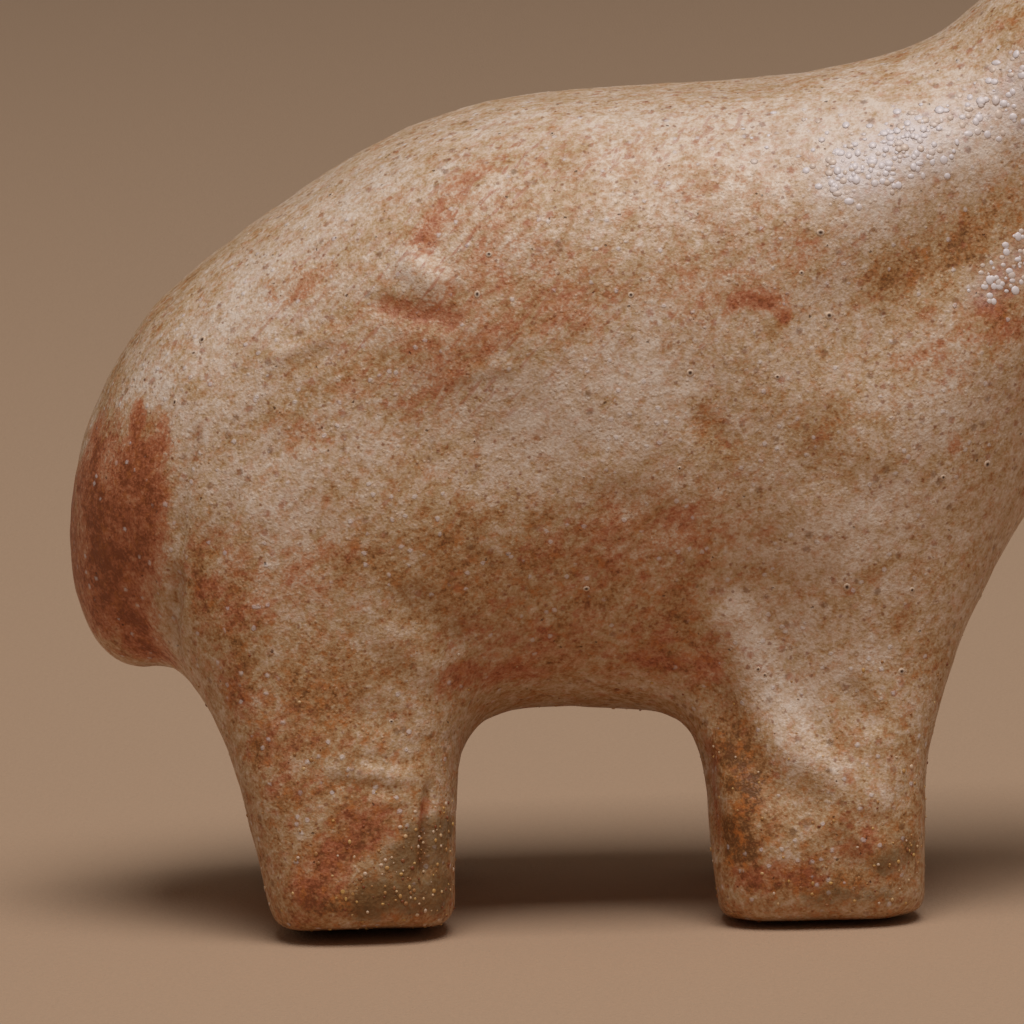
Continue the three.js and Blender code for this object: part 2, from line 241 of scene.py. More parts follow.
# The soles stay flat, and nothing stands past the solid's own length, width and height.
sole_rise = 1.5
relief *= np.clip(skin_points[:, 2] / sole_rise, 0, 1)
raised = skin_points + skin_normals * relief[:, None]
raised = np.clip(raised, lowest, highest)
clay.data.vertices.foreach_set("co", (raised * MM).astype(np.float32).ravel())
clay.data.polygons.foreach_set("use_smooth", np.ones(len(clay.data.polygons), dtype=bool))
clay.data.update()

ragged_edge = rough_noise(skin_points, 2.6, 71, octaves=4)


def near(places, radius, side=-1):
    """A soft patch of the slip from 0 to 1: 1.25 less the distance from the line in radii and
    less 0.28 of a rough noise, which makes its edge ragged."""
    return np.clip(1.25 - reach(places, side) / radius - 0.28 * ragged_edge, 0, 1)


def patches(entries, side=-1):
    """The greatest of several soft patches at each point. Each has its places, radius and
    strength."""
    joined = np.zeros(len(skin_points))
    for places, radius, strength in entries:
        joined = np.maximum(joined, strength * near(places, radius, side))
    return joined


# Where the near side's slip is thick and pale, worn to orange clay, stained red-brown by iron, drawn
# out in strokes, filmed with white, or sandy. Some pale patches are painted highlights on lit ridges
# and lumps, and some worn and iron patches are painted shade on the fore leg, the tail and the dent
# under the hip lump.
pale = patches([
    ([(-44.0, 50.0), (-38.0, 57.0), (-28.0, 63.0)], 6.0, 0.45),
    ([(-20.0, 66.0), (-8.6, 67.0)], 6.0, 0.5),
    ([(-8.6, 65.0), (8.5, 66.5), (17.0, 66.0)], 7.0, 0.95),
    ([(9.1, 62.0), (17.0, 64.0)], 6.0, 1.0),
    ([(-50.0, 46.5), (-46.5, 43.0)], 2.6, 0.8),
    # painted highlight along the lit ridge of the fore leg, over pale slip
    ([(-3.0, 27.4), (-1.1, 23.1), (0.8, 18.9), (2.0, 15.9)], 3.0, 0.8),
    ([(3.2, 14.4), (6.4, 12.4), (9.6, 10.6)], 1.7, 0.6),
    # painted highlight on the hip lump, over pale slip
    ([(-28.8, 55.8), (-27.2, 54.8)], 2.2, 0.9),
    ([(-18.0, 43.0), (-10.0, 46.0)], 6.0, 0.8),
    ([(6.0, 30.0), (9.0, 34.0)], 4.6, 0.6),
    ([(12.0, 42.0), (16.0, 44.0)], 5.0, 0.45),
    ([(3.0, 26.0), (7.0, 22.0)], 3.2, 0.4),
    # pale crumbs across the hind leg, with painted highlights on their tops
    ([(-36.2, 14.8), (-32.6, 14.4), (-29.8, 13.8)], 1.0, 0.7),
    ([(-41.0, 40.0), (-38.0, 34.0)], 3.0, 0.4),
    ([(38.0, 73.0), (48.0, 68.0)], 5.0, 0.6),  # on the head
])
wear_and_shade = patches([
    ([(-25.9, 31.7), (-17.0, 28.0), (-7.2, 27.5)], 7.5, 0.95),
    ([(-17.1, 23.4), (-5.0, 24.0)], 5.0, 0.8),
    ([(12.4, 53.8), (15.1, 56.4), (21.0, 60.0)], 4.2, 1.25),
    ([(19.0, 49.0), (21.0, 51.0)], 3.0, 0.9),
    ([(19.9, 68.0), (23.0, 72.0)], 4.0, 0.8),
    ([(-51.0, 50.0), (-47.3, 53.8)], 2.6, 0.75),
    ([(-53.4, 46.0), (-54.6, 41.0)], 2.4, 0.8),
    ([(-46.0, 30.0), (-42.0, 22.0), (-40.0, 10.0)], 3.8, 1.0),
    ([(-24.6, 49.3), (-14.0, 53.0)], 6.0, 0.35),
    ([(-38.0, 44.0), (-33.0, 48.0)], 5.0, 0.25),
    ([(9.0, 20.0), (11.0, 16.0)], 2.4, 0.7),
    ([(-28.0, 12.0), (-28.0, 6.0)], 1.6, 0.8),
    ([(12.0, 44.0), (16.0, 40.0)], 5.0, 0.2),
    # painted shade on the side of the fore leg that turns from the light, with worn slip
    ([(-3.2, 15.4), (-2.4, 13.0), (-1.8, 11.0), (-3.0, 7.5)], 3.4, 2.3),
    ([(-2.6, 7.6), (-1.8, 4.2)], 2.2, 1.7),
    ([(0.4, 3.8), (6.4, 3.8)], 2.2, 1.6),
    ([(-37.0, 4.2), (-31.6, 4.4)], 2.6, 1.6),
    ([(19.4, 52.6), (21.0, 56.0)], 2.2, 0.9),
    ([(-37.8, 43.3)], 1.3, 0.8),
    ([(-13.4, 44.6)], 1.2, 0.8),
    ([(-9.2, 47.7)], 1.2, 0.8),
    ([(6.7, 27.2), (9.2, 30.5)], 1.4, 0.9),
    ([(-34.0, 31.9), (-28.4, 30.1)], 1.8, 0.9),
    ([(-50.2, 42.9), (-47.7, 46.2)], 1.2, 0.8),
    ([(-41.8, 56.9)], 1.6, 0.7),
    ([(4.5, 40.7), (6.0, 42.4)], 1.3, 0.8),
    ([(-5.4, 43.8), (-3.0, 40.6)], 1.5, 0.9),
    ([(52.0, 57.4), (42.0, 59.0)], 1.8, 0.8),  # on the head
    ([(54.0, 62.0), (57.0, 60.0)], 3.0, 0.5),
    ([(32.0, 72.0), (36.0, 68.0)], 3.0, 0.5),
    ([(-36.0, 20.0), (-33.0, 8.0)], 7.0, 1.15),
    # painted shade down the left edge of the fore leg
    ([(-5.4, 22.0), (-5.0, 8.0)], 2.0, 0.8),
    ([(-20.0, 18.6), (-10.0, 18.6)], 3.0, 0.8),
    # painted shade on the tail, with worn slip
    ([(-57.4, 36.0), (-54.0, 24.0)], 5.0, 0.8),
])
iron_and_shade = patches([
    # the tail's red-brown: iron stain and painted shade where it lies beside the haunch
    ([(-55.4, 37.0), (-54.4, 33.0), (-54.2, 29.0)], 5.8, 1.35),
    ([(-50.8, 39.4), (-50.8, 35.0), (-51.2, 31.0)], 3.2, 1.3),
    ([(-57.4, 34.0), (-55.0, 26.0)], 5.0, 0.8),
    ([(-52.8, 38.6), (-52.6, 35.0), (-52.8, 29.0), (-51.4, 23.6)], 3.2, 1.25),
    ([(-51.6, 41.0), (-51.2, 43.8)], 1.1, 1.1),
    ([(-49.6, 40.0), (-49.2, 42.8)], 0.9, 1.0),
    ([(-27.9, 57.4), (-25.4, 60.4), (-23.2, 62.8)], 1.9, 0.62),
    ([(-23.4, 55.2), (-21.4, 58.0)], 1.6, 0.55),
    ([(-27.1, 46.4), (-24.6, 49.3), (-21.3, 50.8)], 2.8, 0.42),
    # iron stain and painted shade in the dent under the hip lump
    ([(-30.4, 52.4), (-28.2, 51.9), (-25.4, 51.5)], 1.3, 0.75),
    ([(-18.1, 50.3), (-15.0, 52.7)], 1.8, 0.45),
    ([(-37.8, 42.5)], 2.0, 0.38),
    ([(-40.1, 52.7), (-36.0, 54.0)], 2.0, 0.45),
    ([(-14.1, 63.1), (-4.6, 65.9)], 2.4, 0.22),
    ([(-2.4, 52.3), (-1.1, 52.8)], 0.8, 0.8),
    ([(-0.6, 52.4), (0.2, 52.2), (1.3, 51.5), (1.9, 50.7)], 0.9, 1.1),
    ([(15.6, 39.6)], 1.1, 0.9),
    ([(-5.6, 42.6), (-4.6, 41.6)], 1.5, 0.2),
    ([(-12.0, 33.7), (-6.3, 34.4)], 2.8, 0.5),
    ([(-9.5, 31.0)], 2.6, 0.35),
    ([(-26.1, 21.5), (-20.0, 21.4)], 2.1, 0.6),
    ([(-10.5, 22.3), (-4.5, 22.0)], 2.0, 0.5),
    ([(-38.4, 5.0), (-35.4, 8.0), (-32.4, 10.4)], 2.4, 0.52),
    ([(-29.0, 48.0), (-22.0, 56.0), (-16.0, 52.0)], 6.5, 0.27),
    ([(-14.0, 32.0), (-4.0, 34.0)], 5.0, 0.3),
    ([(-46.0, 30.0), (-38.0, 32.0)], 4.5, 0.3),
    ([(-12.0, 63.0), (0.0, 62.0)], 5.0, 0.25),
    ([(-23.0, 24.0), (-4.0, 23.0)], 4.0, 0.3),
    ([(-6.0, 52.0), (4.0, 56.0)], 4.0, 0.26),
    ([(14.0, 46.0), (19.6, 50.6)], 3.6, 0.3),
    ([(44.0, 66.0), (40.0, 69.0)], 2.8, 0.35),  # on the head
    ([(29.0, 74.0), (30.0, 80.0)], 2.4, 0.4),
    ([(-44.0, 22.0), (-38.0, 14.0)], 3.0, 0.3),
    ([(-2.2, 4.6), (2.3, 4.2)], 1.8, 0.45),
    ([(6.6, 7.0), (7.4, 7.6)], 1.5, 0.5),
    ([(-28.3, 11.9), (-28.8, 8.6), (-28.6, 6.6)], 0.6, 0.8),
    ([(-45.5, 29.4), (-42.1, 27.6)], 2.6, 0.5),
    ([(-38.1, 31.1), (-36.4, 32.6)], 2.0, 0.5),
    # painted shade down the left edge of the fore leg, with iron stain
    ([(-5.0, 14.5), (-4.9, 8.0)], 1.5, 0.5),
    ([(18.3, 50.6), (20.3, 48.9)], 1.7, 0.5),
])
# Handling and damp ground have worn the lower legs, less where the slip is thick.
worn_height = 24.0
low_wear = 0.9 * np.clip(1.25 - skin_points[:, 2] / worn_height, 0, 1)
wear_and_shade = np.maximum(wear_and_shade, low_wear) - 0.5 * pale
stroked = 0.12 + patches([
    ([(-30.0, 50.0), (-24.0, 59.0), (-20.0, 64.0)], 6.0, 1.0),
    ([(-24.0, 47.0), (-15.0, 53.0)], 5.0, 0.9),
    ([(-40.0, 52.0), (-36.0, 56.0)], 4.0, 0.6),
    ([(-14.0, 63.0), (-2.0, 66.0)], 3.5, 0.6),
])
white_film = patches([
    ([(7.6, 62.4), (9.6, 62.9), (12.6, 64.2)], 3.2, 1.2),
    ([(16.8, 66.0), (21.5, 68.6)], 3.2, 0.7),
    ([(18.0, 52.3), (19.8, 53.2), (22.5, 55.5)], 1.6, 0.36),
    ([(2.0, 64.6), (14.0, 65.4)], 3.6, 0.22),
])
sandy = patches([
    ([(-30.4, 7.0), (-27.4, 8.6)], 2.8, 1.05),
    ([(-32.6, 4.4), (-27.2, 4.0)], 2.8, 1.05),
    ([(9.4, 5.6), (11.3, 6.4)], 2.3, 0.66),
    ([(3.0, 2.8), (9.0, 3.0)], 1.6, 0.6),
])

# The far side has the same kinds of wear and stain in other places, and the same painted shade on
# the tail.
stroked = np.maximum(stroked, patches([([(-30.0, 46.0), (-10.0, 58.0)], 7.0, 0.9)], side=1))
white_film = np.maximum(white_film, patches([
    ([(10.0, 60.0), (15.0, 64.0)], 3.0, 0.9),
    ([(0.0, 57.0), (4.0, 58.0)], 2.0, 0.5),
], side=1))
pale = np.maximum(pale, patches([
    ([(-40.0, 52.0), (-30.0, 60.0)], 7.0, 0.7),
    ([(-15.0, 63.0), (10.0, 62.0)], 8.0, 0.9),
    ([(2.0, 22.0), (6.0, 14.0)], 3.4, 0.8),
    ([(-20.0, 44.0), (-12.0, 48.0)], 5.0, 0.6),
    ([(22.0, 66.0), (32.0, 70.0), (44.0, 62.0)], 5.0, 0.6),
    ([(-38.0, 30.0), (-34.0, 24.0)], 3.0, 0.5),
], side=1))
wear_and_shade = np.maximum(wear_and_shade, patches([
    ([(-24.0, 30.0), (-6.0, 28.0)], 7.0, 0.9),
    ([(10.0, 53.0), (20.0, 60.0)], 4.6, 0.9),
    ([(-44.0, 28.0), (-40.0, 12.0)], 3.6, 0.7),
    ([(-30.0, 48.0), (-24.0, 40.0)], 6.0, 0.55),
    ([(4.0, 40.0), (12.0, 34.0)], 5.0, 0.5),
    ([(30.0, 56.0), (44.0, 52.0)], 4.0, 0.7),
    ([(-52.0, 50.0), (-46.0, 54.0)], 3.0, 0.7),
    ([(-16.0, 56.0), (-8.0, 52.0)], 4.0, 0.35),
], side=1))
iron_and_shade = np.maximum(iron_and_shade, patches([
    # the tail's red-brown: iron stain and painted shade, as on the near side
    ([(-53.4, 36.5), (-53.2, 29.0)], 5.2, 1.1),
    ([(-34.0, 44.0), (-30.0, 48.0)], 3.2, 0.5),
    ([(-26.0, 52.0), (-18.0, 57.0)], 2.6, 0.4),
    ([(-8.0, 40.0), (-3.0, 43.0)], 3.0, 0.45),
    ([(-18.0, 32.0), (-12.0, 35.0)], 2.8, 0.45),
    ([(-24.0, 21.5), (-8.0, 22.0)], 2.2, 0.6),
    ([(-36.0, 7.0), (-32.0, 9.0)], 2.8, 0.6),
    ([(-44.0, 30.0), (-41.0, 26.0)], 2.4, 0.5),
    ([(5.0, 5.0), (9.0, 6.0)], 2.2, 0.6),
    ([(2.0, 56.0), (4.0, 53.0)], 1.6, 0.6),
    ([(16.0, 46.0), (19.0, 50.0)], 2.2, 0.5),
    ([(36.0, 60.0), (40.0, 57.0)], 2.6, 0.4),
], side=1))
sandy = np.maximum(sandy, patches([
    ([(-30.0, 5.0), (-28.0, 6.0)], 2.6, 1.2),
    ([(2.0, 5.0), (4.0, 4.0)], 2.4, 1.2),
], side=1))


def paint(mesh, name, values):
    """Keeps one number for each point of a mesh under a name that its material reads."""
    layer = mesh.attributes.new(name, "FLOAT", "POINT")
    layer.data.foreach_set("value", values.astype(np.float32))


# Hollows are darkened with painted shade. The mesh keeps this and the patches for the material.
hollow = np.clip(-relief / 0.5 + 0.25 * rough_noise(skin_points, 3.0, 9), 0, 1)
paint(clay.data, "pale_slip_and_highlight", pale)
paint(clay.data, "worn_slip_and_shade", wear_and_shade)
paint(clay.data, "iron_stain_and_shade", iron_and_shade)
paint(clay.data, "sandy_clay", sandy)
paint(clay.data, "hollow", hollow)
paint(clay.data, "stroked", stroked)
paint(clay.data, "white_film", white_film)


class Finish:
    """A material of nodes, built by short calls."""

    def __init__(self, name):
        self.material = bpy.data.materials.new(name)
        self.material.use_nodes = True
        self.tree = self.material.node_tree
        self.shader = self.tree.nodes["Principled BSDF"]
        self.place = self.tree.nodes.new("ShaderNodeTexCoord").outputs["Object"]

    def link(self, value, socket):
        """Joins an output to an input, or sets a plain value on it."""
        if isinstance(value, bpy.types.NodeSocket):
            self.tree.links.new(value, socket)
        else:
            socket.default_value = value

    def layer(self, name):
        """A number painted on the mesh."""
        node = self.tree.nodes.new("ShaderNodeAttribute")
        node.attribute_name = name
        return node.outputs["Fac"]

    def noise(self, size, detail=2.0, rough=0.5, stretch=(1, 1, 1), rise=0.0, shift=0.0):
        """Noise from 0 to 1 whose blotches are about the size in millimetres, stretched along
        axes that rise from +X towards +Z by an angle."""
        mapping = self.tree.nodes.new("ShaderNodeMapping")
        mapping.vector_type = "TEXTURE"
        mapping.inputs["Location"].default_value = (shift, shift * 0.7, shift * 1.3)
        mapping.inputs["Rotation"].default_value = (0, -rise, 0)
        mapping.inputs["Scale"].default_value = [size * MM * part for part in stretch]
        self.link(self.place, mapping.inputs["Vector"])
        texture = self.tree.nodes.new("ShaderNodeTexNoise")
        texture.inputs["Scale"].default_value = 1.0
        texture.inputs["Detail"].default_value = detail
        texture.inputs["Roughness"].default_value = rough
        self.link(mapping.outputs["Vector"], texture.inputs["Vector"])
        return texture.outputs["Fac"]

    def cells(self, size, shift=0.0):
        """Distance from scattered points about a size apart, and a colour for each point."""
        mapping = self.tree.nodes.new("ShaderNodeMapping")
        mapping.inputs["Location"].default_value = (shift, shift * 0.7, shift * 1.3)
        mapping.inputs["Scale"].default_value = [1 / (size * MM)] * 3
        self.link(self.place, mapping.inputs["Vector"])
        voronoi = self.tree.nodes.new("ShaderNodeTexVoronoi")
        voronoi.feature = "F1"
        voronoi.inputs["Scale"].default_value = 1.0
        voronoi.inputs["Randomness"].default_value = 1.0
        self.link(mapping.outputs["Vector"], voronoi.inputs["Vector"])
        return voronoi.outputs["Distance"], voronoi.outputs["Color"]

    def calc(self, operation, first, second=0.0, third=0.0):
        """One Math node."""
        node = self.tree.nodes.new("ShaderNodeMath")
        node.operation = operation
        for value, socket in zip((first, second, third), node.inputs):
            self.link(value, socket)
        return node.outputs["Value"]

    def ramp(self, value, start, end, low_value=0.0, high_value=1.0):
        """A smooth step of the value from start to end, clamped."""
        node = self.tree.nodes.new("ShaderNodeMapRange")
        node.interpolation_type = "SMOOTHSTEP"
        self.link(value, node.inputs["Value"])
        node.inputs["From Min"].default_value = start
        node.inputs["From Max"].default_value = end
        node.inputs["To Min"].default_value = low_value
        node.inputs["To Max"].default_value = high_value
        return node.outputs["Result"]

    def mix(self, share, first, second):
        """Two colours mixed by a share."""
        node = self.tree.nodes.new("ShaderNodeMix")
        node.data_type = "RGBA"
        self.link(share, node.inputs["Factor"])
        self.link(first, node.inputs[6])
        self.link(second, node.inputs[7])
        return node.outputs[2]

    def scale(self, value, stops):
        """A scale of colours along a value, from the stops' places and colours."""
        node = self.tree.nodes.new("ShaderNodeValToRGB")
        marks = node.color_ramp.elements
        while len(marks) < len(stops):
            marks.new(0.5)
        for mark, (at, colour) in zip(marks, stops):
            mark.position = at
            mark.color = colour
        self.link(value, node.inputs["Fac"])
        return node.outputs["Color"]

    def bump(self, height, depth, under=None):
        """A bump of a height from 0 to 1 and a depth in millimetres, on top of the one under
        it."""
        node = self.tree.nodes.new("ShaderNodeBump")
        node.inputs["Distance"].default_value = depth * MM
        node.inputs["Strength"].default_value = 1.0
        self.link(height, node.inputs["Height"])
        if under is not None:
            self.link(under, node.inputs["Normal"])
        return node.outputs["Normal"]


def shade(red, green, blue):
    """A display colour from 0 to 255 as the linear colour that shaders take: the display value
    plus 0.055, over 1.055, to the power 2.4."""
    return tuple(((value / 255 + 0.055) / 1.055) ** 2.4 for value in (red, green, blue)) + (1.0,)


rust = shade(138, 74, 40)
brick = shade(182, 108, 72)
umber = shade(122, 80, 42)
ochre = shade(176, 126, 78)
tan = shade(206, 150, 116)
buff = shade(200, 168, 130)
cream = shade(221, 197, 176)
chalk = shade(236, 222, 211)
pearl = shade(234, 228, 233)
amber = shade(198, 122, 58)
painted_pit_shade = shade(82, 52, 32)
olive = shade(94, 66, 36)
damp_sand = shade(138, 108, 66)

# The thickness of the slip runs from 0, bare stained clay, to 1, a full chalky coat. Painted patches
# move it, painted highlights and painted shade among them, and the smears of the wiping hand, which
# rise to the right, break it up.
slip = Finish("burnished_slip")
broad = slip.noise(8.0, detail=2.0)
blotch = slip.noise(2.4, detail=4.0, rough=0.6, stretch=(1.6, 1.0, 0.9), rise=0.5, shift=0.31)
mottle = slip.noise(0.8, detail=4.0, rough=0.65, stretch=(1.15, 1.0, 1.0), rise=0.5, shift=0.77)
pebble = slip.noise(0.4, detail=2.0, rough=0.6, shift=0.19)
tooth = slip.noise(0.22, detail=1.0, shift=0.53)
bareness = slip.calc("POWER", slip.layer("iron_stain_and_shade"), 1.6)
usual_coat = 0.58
thickness = slip.calc("MULTIPLY_ADD", slip.layer("pale_slip_and_highlight"), 0.26, usual_coat)
thickness = slip.calc("MULTIPLY_ADD", slip.layer("worn_slip_and_shade"), -0.24, thickness)
thickness = slip.calc("MULTIPLY_ADD", bareness, -0.3, thickness)
for smear, share in ((broad, 0.28), (blotch, 0.75), (mottle, 1.0), (pebble, 0.7), (tooth, 0.5)):
    thickness = slip.calc("MULTIPLY_ADD", slip.calc("SUBTRACT", smear, 0.5), share, thickness)
earthy = [(0.0, umber), (0.22, ochre), (0.46, buff), (0.7, cream), (0.95, chalk)]
ruddy_clay = [(0.0, rust), (0.24, brick), (0.5, tan), (0.75, cream), (0.95, chalk)]

# Iron stain, and the painted shade on the tail, turn the clay from earthy to ruddy, and worn places
# and those of painted shade show more amber.
ruddy = slip.noise(1.5, detail=5.0, rough=0.75, stretch=(1.5, 1.0, 0.9), rise=0.6, shift=0.61)
redness = slip.calc("MULTIPLY_ADD", slip.layer("iron_stain_and_shade"), 0.42, ruddy)
iron_share = slip.ramp(redness, 0.48, 0.8)
body = slip.mix(iron_share, slip.scale(thickness, earthy), slip.scale(thickness, ruddy_clay))
amber_blots = slip.ramp(slip.noise(1.0, detail=4.0, rough=0.7, shift=0.93), 0.5, 0.68)
amber_depth = slip.calc("MULTIPLY_ADD", slip.layer("worn_slip_and_shade"), 0.28, 0.36)
body = slip.mix(slip.calc("MULTIPLY", amber_blots, amber_depth), body, amber)

# Strokes of the rubbing stone drew thin red lines through the slip.
stroke_depth = 0.6
streak = slip.noise(0.5, detail=3.0, stretch=(6.0, 2.0, 0.8), rise=0.85, shift=0.24)
stroke = slip.calc("MULTIPLY", slip.ramp(streak, 0.52, 0.66), slip.layer("stroked"))
body = slip.mix(slip.calc("MULTIPLY", stroke, stroke_depth), body, brick)

# Rusty spots and brown specks of ore, white flecks of lime, and open pores darkened with painted
# shade. Soft noise makes their edges ragged.
uneven = slip.calc("MULTIPLY_ADD", tooth, 0.3, -0.15)


def spots(size, reach, share, shift):
    """Scattered spots from 0 to 1: about a size apart, out to a reach in sizes, and only a
    share of them."""
    gap, lot = slip.cells(size, shift)
    spot = slip.ramp(slip.calc("ADD", gap, uneven), reach * 1.3, reach * 0.5)
    drawn = slip.ramp(lot, 1 - share, 1.04 - share)
    return slip.calc("MULTIPLY", spot, drawn)


rusty = spots(1.2, 0.28, 0.45, 0.44)
specks = spots(0.8, 0.2, 0.45, 0.21)
flecks = spots(1.05, 0.2, 0.36, 0.88)
pores = spots(1.3, 0.07, 0.4, 0.13)
grit = spots(0.5, 0.26, 0.55, 0.39)
rusty_colour = slip.mix(slip.ramp(redness, 0.4, 0.6), umber, brick)
grit_colour = slip.mix(slip.ramp(thickness, 0.3, 0.6), amber, cream)
painted_hollow_shade = slip.layer("hollow")
for cover, share, colour in (
    (rusty, 0.6, rusty_colour),
    (specks, 0.6, rust),
    (flecks, 0.6, pearl),
    (grit, 0.3, grit_colour),
    # the pores are darkened with painted shade
    (pores, 0.7, painted_pit_shade),
    # painted shade in the hollows
    (painted_hollow_shade, 0.2, umber),
):
    body = slip.mix(slip.calc("MULTIPLY", cover, share), body, colour)

# Sand shows bare and olive low on the feet, and a white film lies on the neck.
bare = slip.calc("ADD", mottle, slip.calc("SUBTRACT", slip.layer("sandy_clay"), 0.5))
sandiness = slip.ramp(bare, 0.3, 0.8, 0.0, 0.75)
body = slip.mix(sandiness, body, slip.mix(mottle, olive, damp_sand))
film = slip.calc("MULTIPLY", slip.layer("white_film"), slip.ramp(mottle, 0.3, 0.6, 0.25, 0.68))
slip.link(slip.mix(film, body, pearl), slip.shader.inputs["Base Color"])

# The skin's gloss is waxy and uneven. Its finest relief is mottled slip, then sand, lime and
# pores, and over them the small pillows of a coat that shrank.
slip.link(slip.ramp(mottle, 0.3, 0.7, 0.58, 0.44), slip.shader.inputs["Roughness"])
slip.shader.inputs["Specular IOR Level"].default_value = 0.45
stones = slip.calc("MULTIPLY_ADD", grit, 0.55, slip.calc("MULTIPLY_ADD", flecks, 0.7, pebble))
stones = slip.calc("MULTIPLY_ADD", tooth, 0.7, stones)
stones = slip.calc("SUBTRACT", stones, pores)
pillows = slip.ramp(slip.cells(0.46, 0.27)[0], 0.75, 0.0)
skin_bump = None
for height, depth in ((mottle, 0.06), (stones, 0.065), (pillows, 0.015)):
    skin_bump = slip.bump(height, depth, under=skin_bump)
slip.link(skin_bump, slip.shader.inputs["Normal"])
clay.data.materials.clear()
clay.data.materials.append(slip.material)
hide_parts("tapir")
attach(clay, "root")

# White beads stand on the neck, where salt or thin slip gathered into drops as it dried. They
# are one with the surface and half sunk in it, and lie closest where the white film does.
low_bead = [(0.9, -1.0), (1.15, -0.2), (0.8, 0.5), (0.42, 0.88)]
bead_radius = 0.24
bead_flatness = 0.3
bead_spacing = 0.52


def scatter(weight, spacing, seed):
    """Numbers of skin points, about one in each cube of the spacing in millimetres and kept with
    the weight's chance. In each cube the point nearest to a chance place is taken."""
    cube = np.floor(skin_points / spacing)
    target = np.stack([chance(cube, seed + axis) for axis in range(3)], axis=1)
    miss = np.linalg.norm(skin_points / spacing - cube - target, axis=1)
    order = np.lexsort((miss, cube[:, 2], cube[:, 1], cube[:, 0]))
    first = np.ones(len(order), dtype=bool)
    first[1:] = np.any(cube[order][1:] != cube[order][:-1], axis=1)
    chosen = order[first]
    return chosen[chance(cube[chosen], seed + 5) < weight[chosen]]


def grains(name, chosen, radius, height, spread, seed, rings, top=1.0):
    """Small solids half sunk in the skin. Each has 8 spans round and a few rings, given from the
    bottom by their reach and height in shares of the radius, and is squashed along the skin's
    normal. Its chance size runs from half to one and a half times the radius, and it slides
    along the skin by up to half the spread."""
    rng = np.random.default_rng(seed)
    count = len(chosen)
    spans = 8
    turn = np.arange(spans) * 2 * np.pi / spans
    out, up = np.array(rings).T[..., None]
    ball = np.stack([out * np.cos(turn), out * np.sin(turn), up + 0 * turn], axis=-1)
    ball = np.vstack([ball.reshape(-1, 3), [[0, 0, -1], [0, 0, top]]])
    normal = skin_normals[chosen]
    helper = np.where(np.abs(normal[:, 2:]) < 0.8, [[0.0, 0.0, 1.0]], [[1.0, 0.0, 0.0]])
    across = np.cross(helper, normal)
    across /= np.linalg.norm(across, axis=1, keepdims=True)
    along = np.cross(normal, across)
    size = radius * (0.5 + rng.random((count, 1, 1)))
    swing = 0.75 + 0.5 * rng.random((count, 1, 2))
    slide = spread * (rng.random((count, 1, 2)) - 0.5)
    across, along, normal = across[:, None], along[:, None], normal[:, None]
    centre = raised[chosen][:, None] + slide[..., :1] * across + slide[..., 1:] * along
    points = centre + size * (
        ball[None, :, :1] * swing[..., :1] * across
        + ball[None, :, 1:2] * swing[..., 1:] * along
        + ball[None, :, 2:] * height * normal
    )
    points = np.clip(points.reshape(-1, 3), lowest, highest)
    base = np.arange(count)[:, None, None] * len(ball)
    ring = np.arange(len(rings) - 1)[:, None] * spans
    here = np.arange(spans)
    after = (here + 1) % spans
    sides = np.stack([ring + here, ring + after, ring + spans + after, ring + spans + here], axis=-1)
    foot, crown = len(ball) - 2, len(ball) - 1
    last = ring[-1] + spans
    below = np.stack([np.full(spans, foot), after, here], axis=-1)
    above = np.stack([np.full(spans, crown), last + here, last + after], axis=-1)
    quads = (base + sides.reshape(-1, 4)).reshape(-1, 4)
    fans = (base + np.vstack([below, above])).reshape(-1, 3)
    mesh = bpy.data.meshes.new(name)
    mesh.from_pydata((points * MM).tolist(), [], quads.tolist() + fans.tolist())
    mesh.polygons.foreach_set("use_smooth", np.ones(len(mesh.polygons), dtype=bool))
    paint(mesh, "tint", np.repeat(rng.random(count), len(ball)))
    paint(mesh, "core", np.tile(np.hypot(ball[:, 0], ball[:, 1]) < 0.35, count))
    piece = bpy.data.objects.new(name, mesh)
    bpy.context.collection.objects.link(piece)
    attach(piece, "root")
    return piece


beaded = white_film**1.5 * 0.55
beaded = np.maximum(beaded, 0.55 * near([(18.4, 52.6), (20.0, 53.4), (22.6, 56.4)], 1.5))
bead_places = scatter(beaded, bead_spacing, 11)
beads = grains("white_beads", bead_places, bead_radius, bead_flatness, 0.5, 3, low_bead)
pearly = Finish("white_beads")
whiteness = pearly.ramp(pearly.layer("tint"), 0.0, 0.5, 0.3, 1.0)
pearly.link(pearly.mix(whiteness, cream, pearl), pearly.shader.inputs["Base Color"])
pearly.link(pearly.ramp(pearly.noise(0.3), 0.3, 0.7, 0.3, 0.42), pearly.shader.inputs["Roughness"])
beads.data.materials.append(pearly.material)

# Pinholes were left where gas escaped from the clay in the kiln. Each is a pit darkened inside with
# painted shade, with a pale raised rim, one with the surface round it.
pitted_rim = [(0.8, -1.0), (1.0, -0.2), (0.6, 1.0), (0.24, 0.5)]
pit_floor = 0.3
rim_radius = 0.27
rim_height = 0.24
stray_pinholes = 0.12
pinhole_spacing = 6.0


def index_at(x, z, side=-1):
    """The skin point nearest to x and z in the side view."""
    return int(np.argmin(np.linalg.norm(skin_points - on_side(x, z, side), axis=1)))


